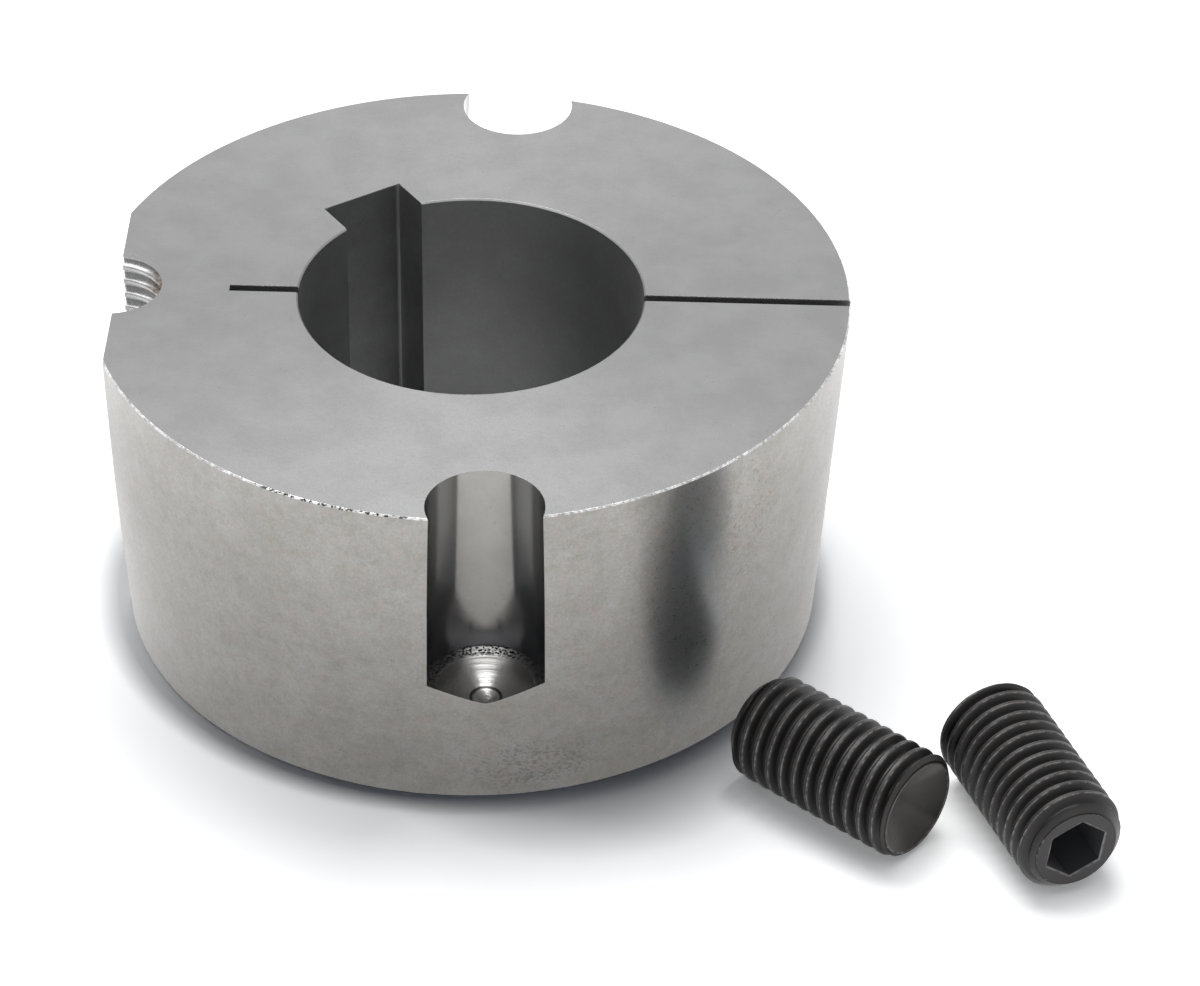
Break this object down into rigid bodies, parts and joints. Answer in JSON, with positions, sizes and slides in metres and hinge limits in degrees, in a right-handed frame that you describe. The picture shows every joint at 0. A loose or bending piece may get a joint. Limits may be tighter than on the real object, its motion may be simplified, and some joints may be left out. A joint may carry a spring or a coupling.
{
  "type": "taper lock bushing",
  "caption": "Split tapered bushing with a keyed bore, blind half holes and a tapped half hole round its rim, and its socket set screws lying beside it.",
  "frame": {"origin": "on the bore axis at the small end face of the bushing, which stands on the floor", "axes": "+Z along the bore towards the large end; +X through the split; -X through the tapped half hole; the blind half holes are 85 degrees either side of +X"},
  "size_m": [0.1425, 0.1237, 0.0508],
  "materials": {
    "machined_iron": "turned and ground, satin",
    "black_oxide_steel": "black oxide, slightly glossy"
  },
  "bodies": {
    "root": {"bushing": "machined_iron", "set_screw_left": "black_oxide_steel", "set_screw_right": "black_oxide_steel"}
  },
  "joints": []
}
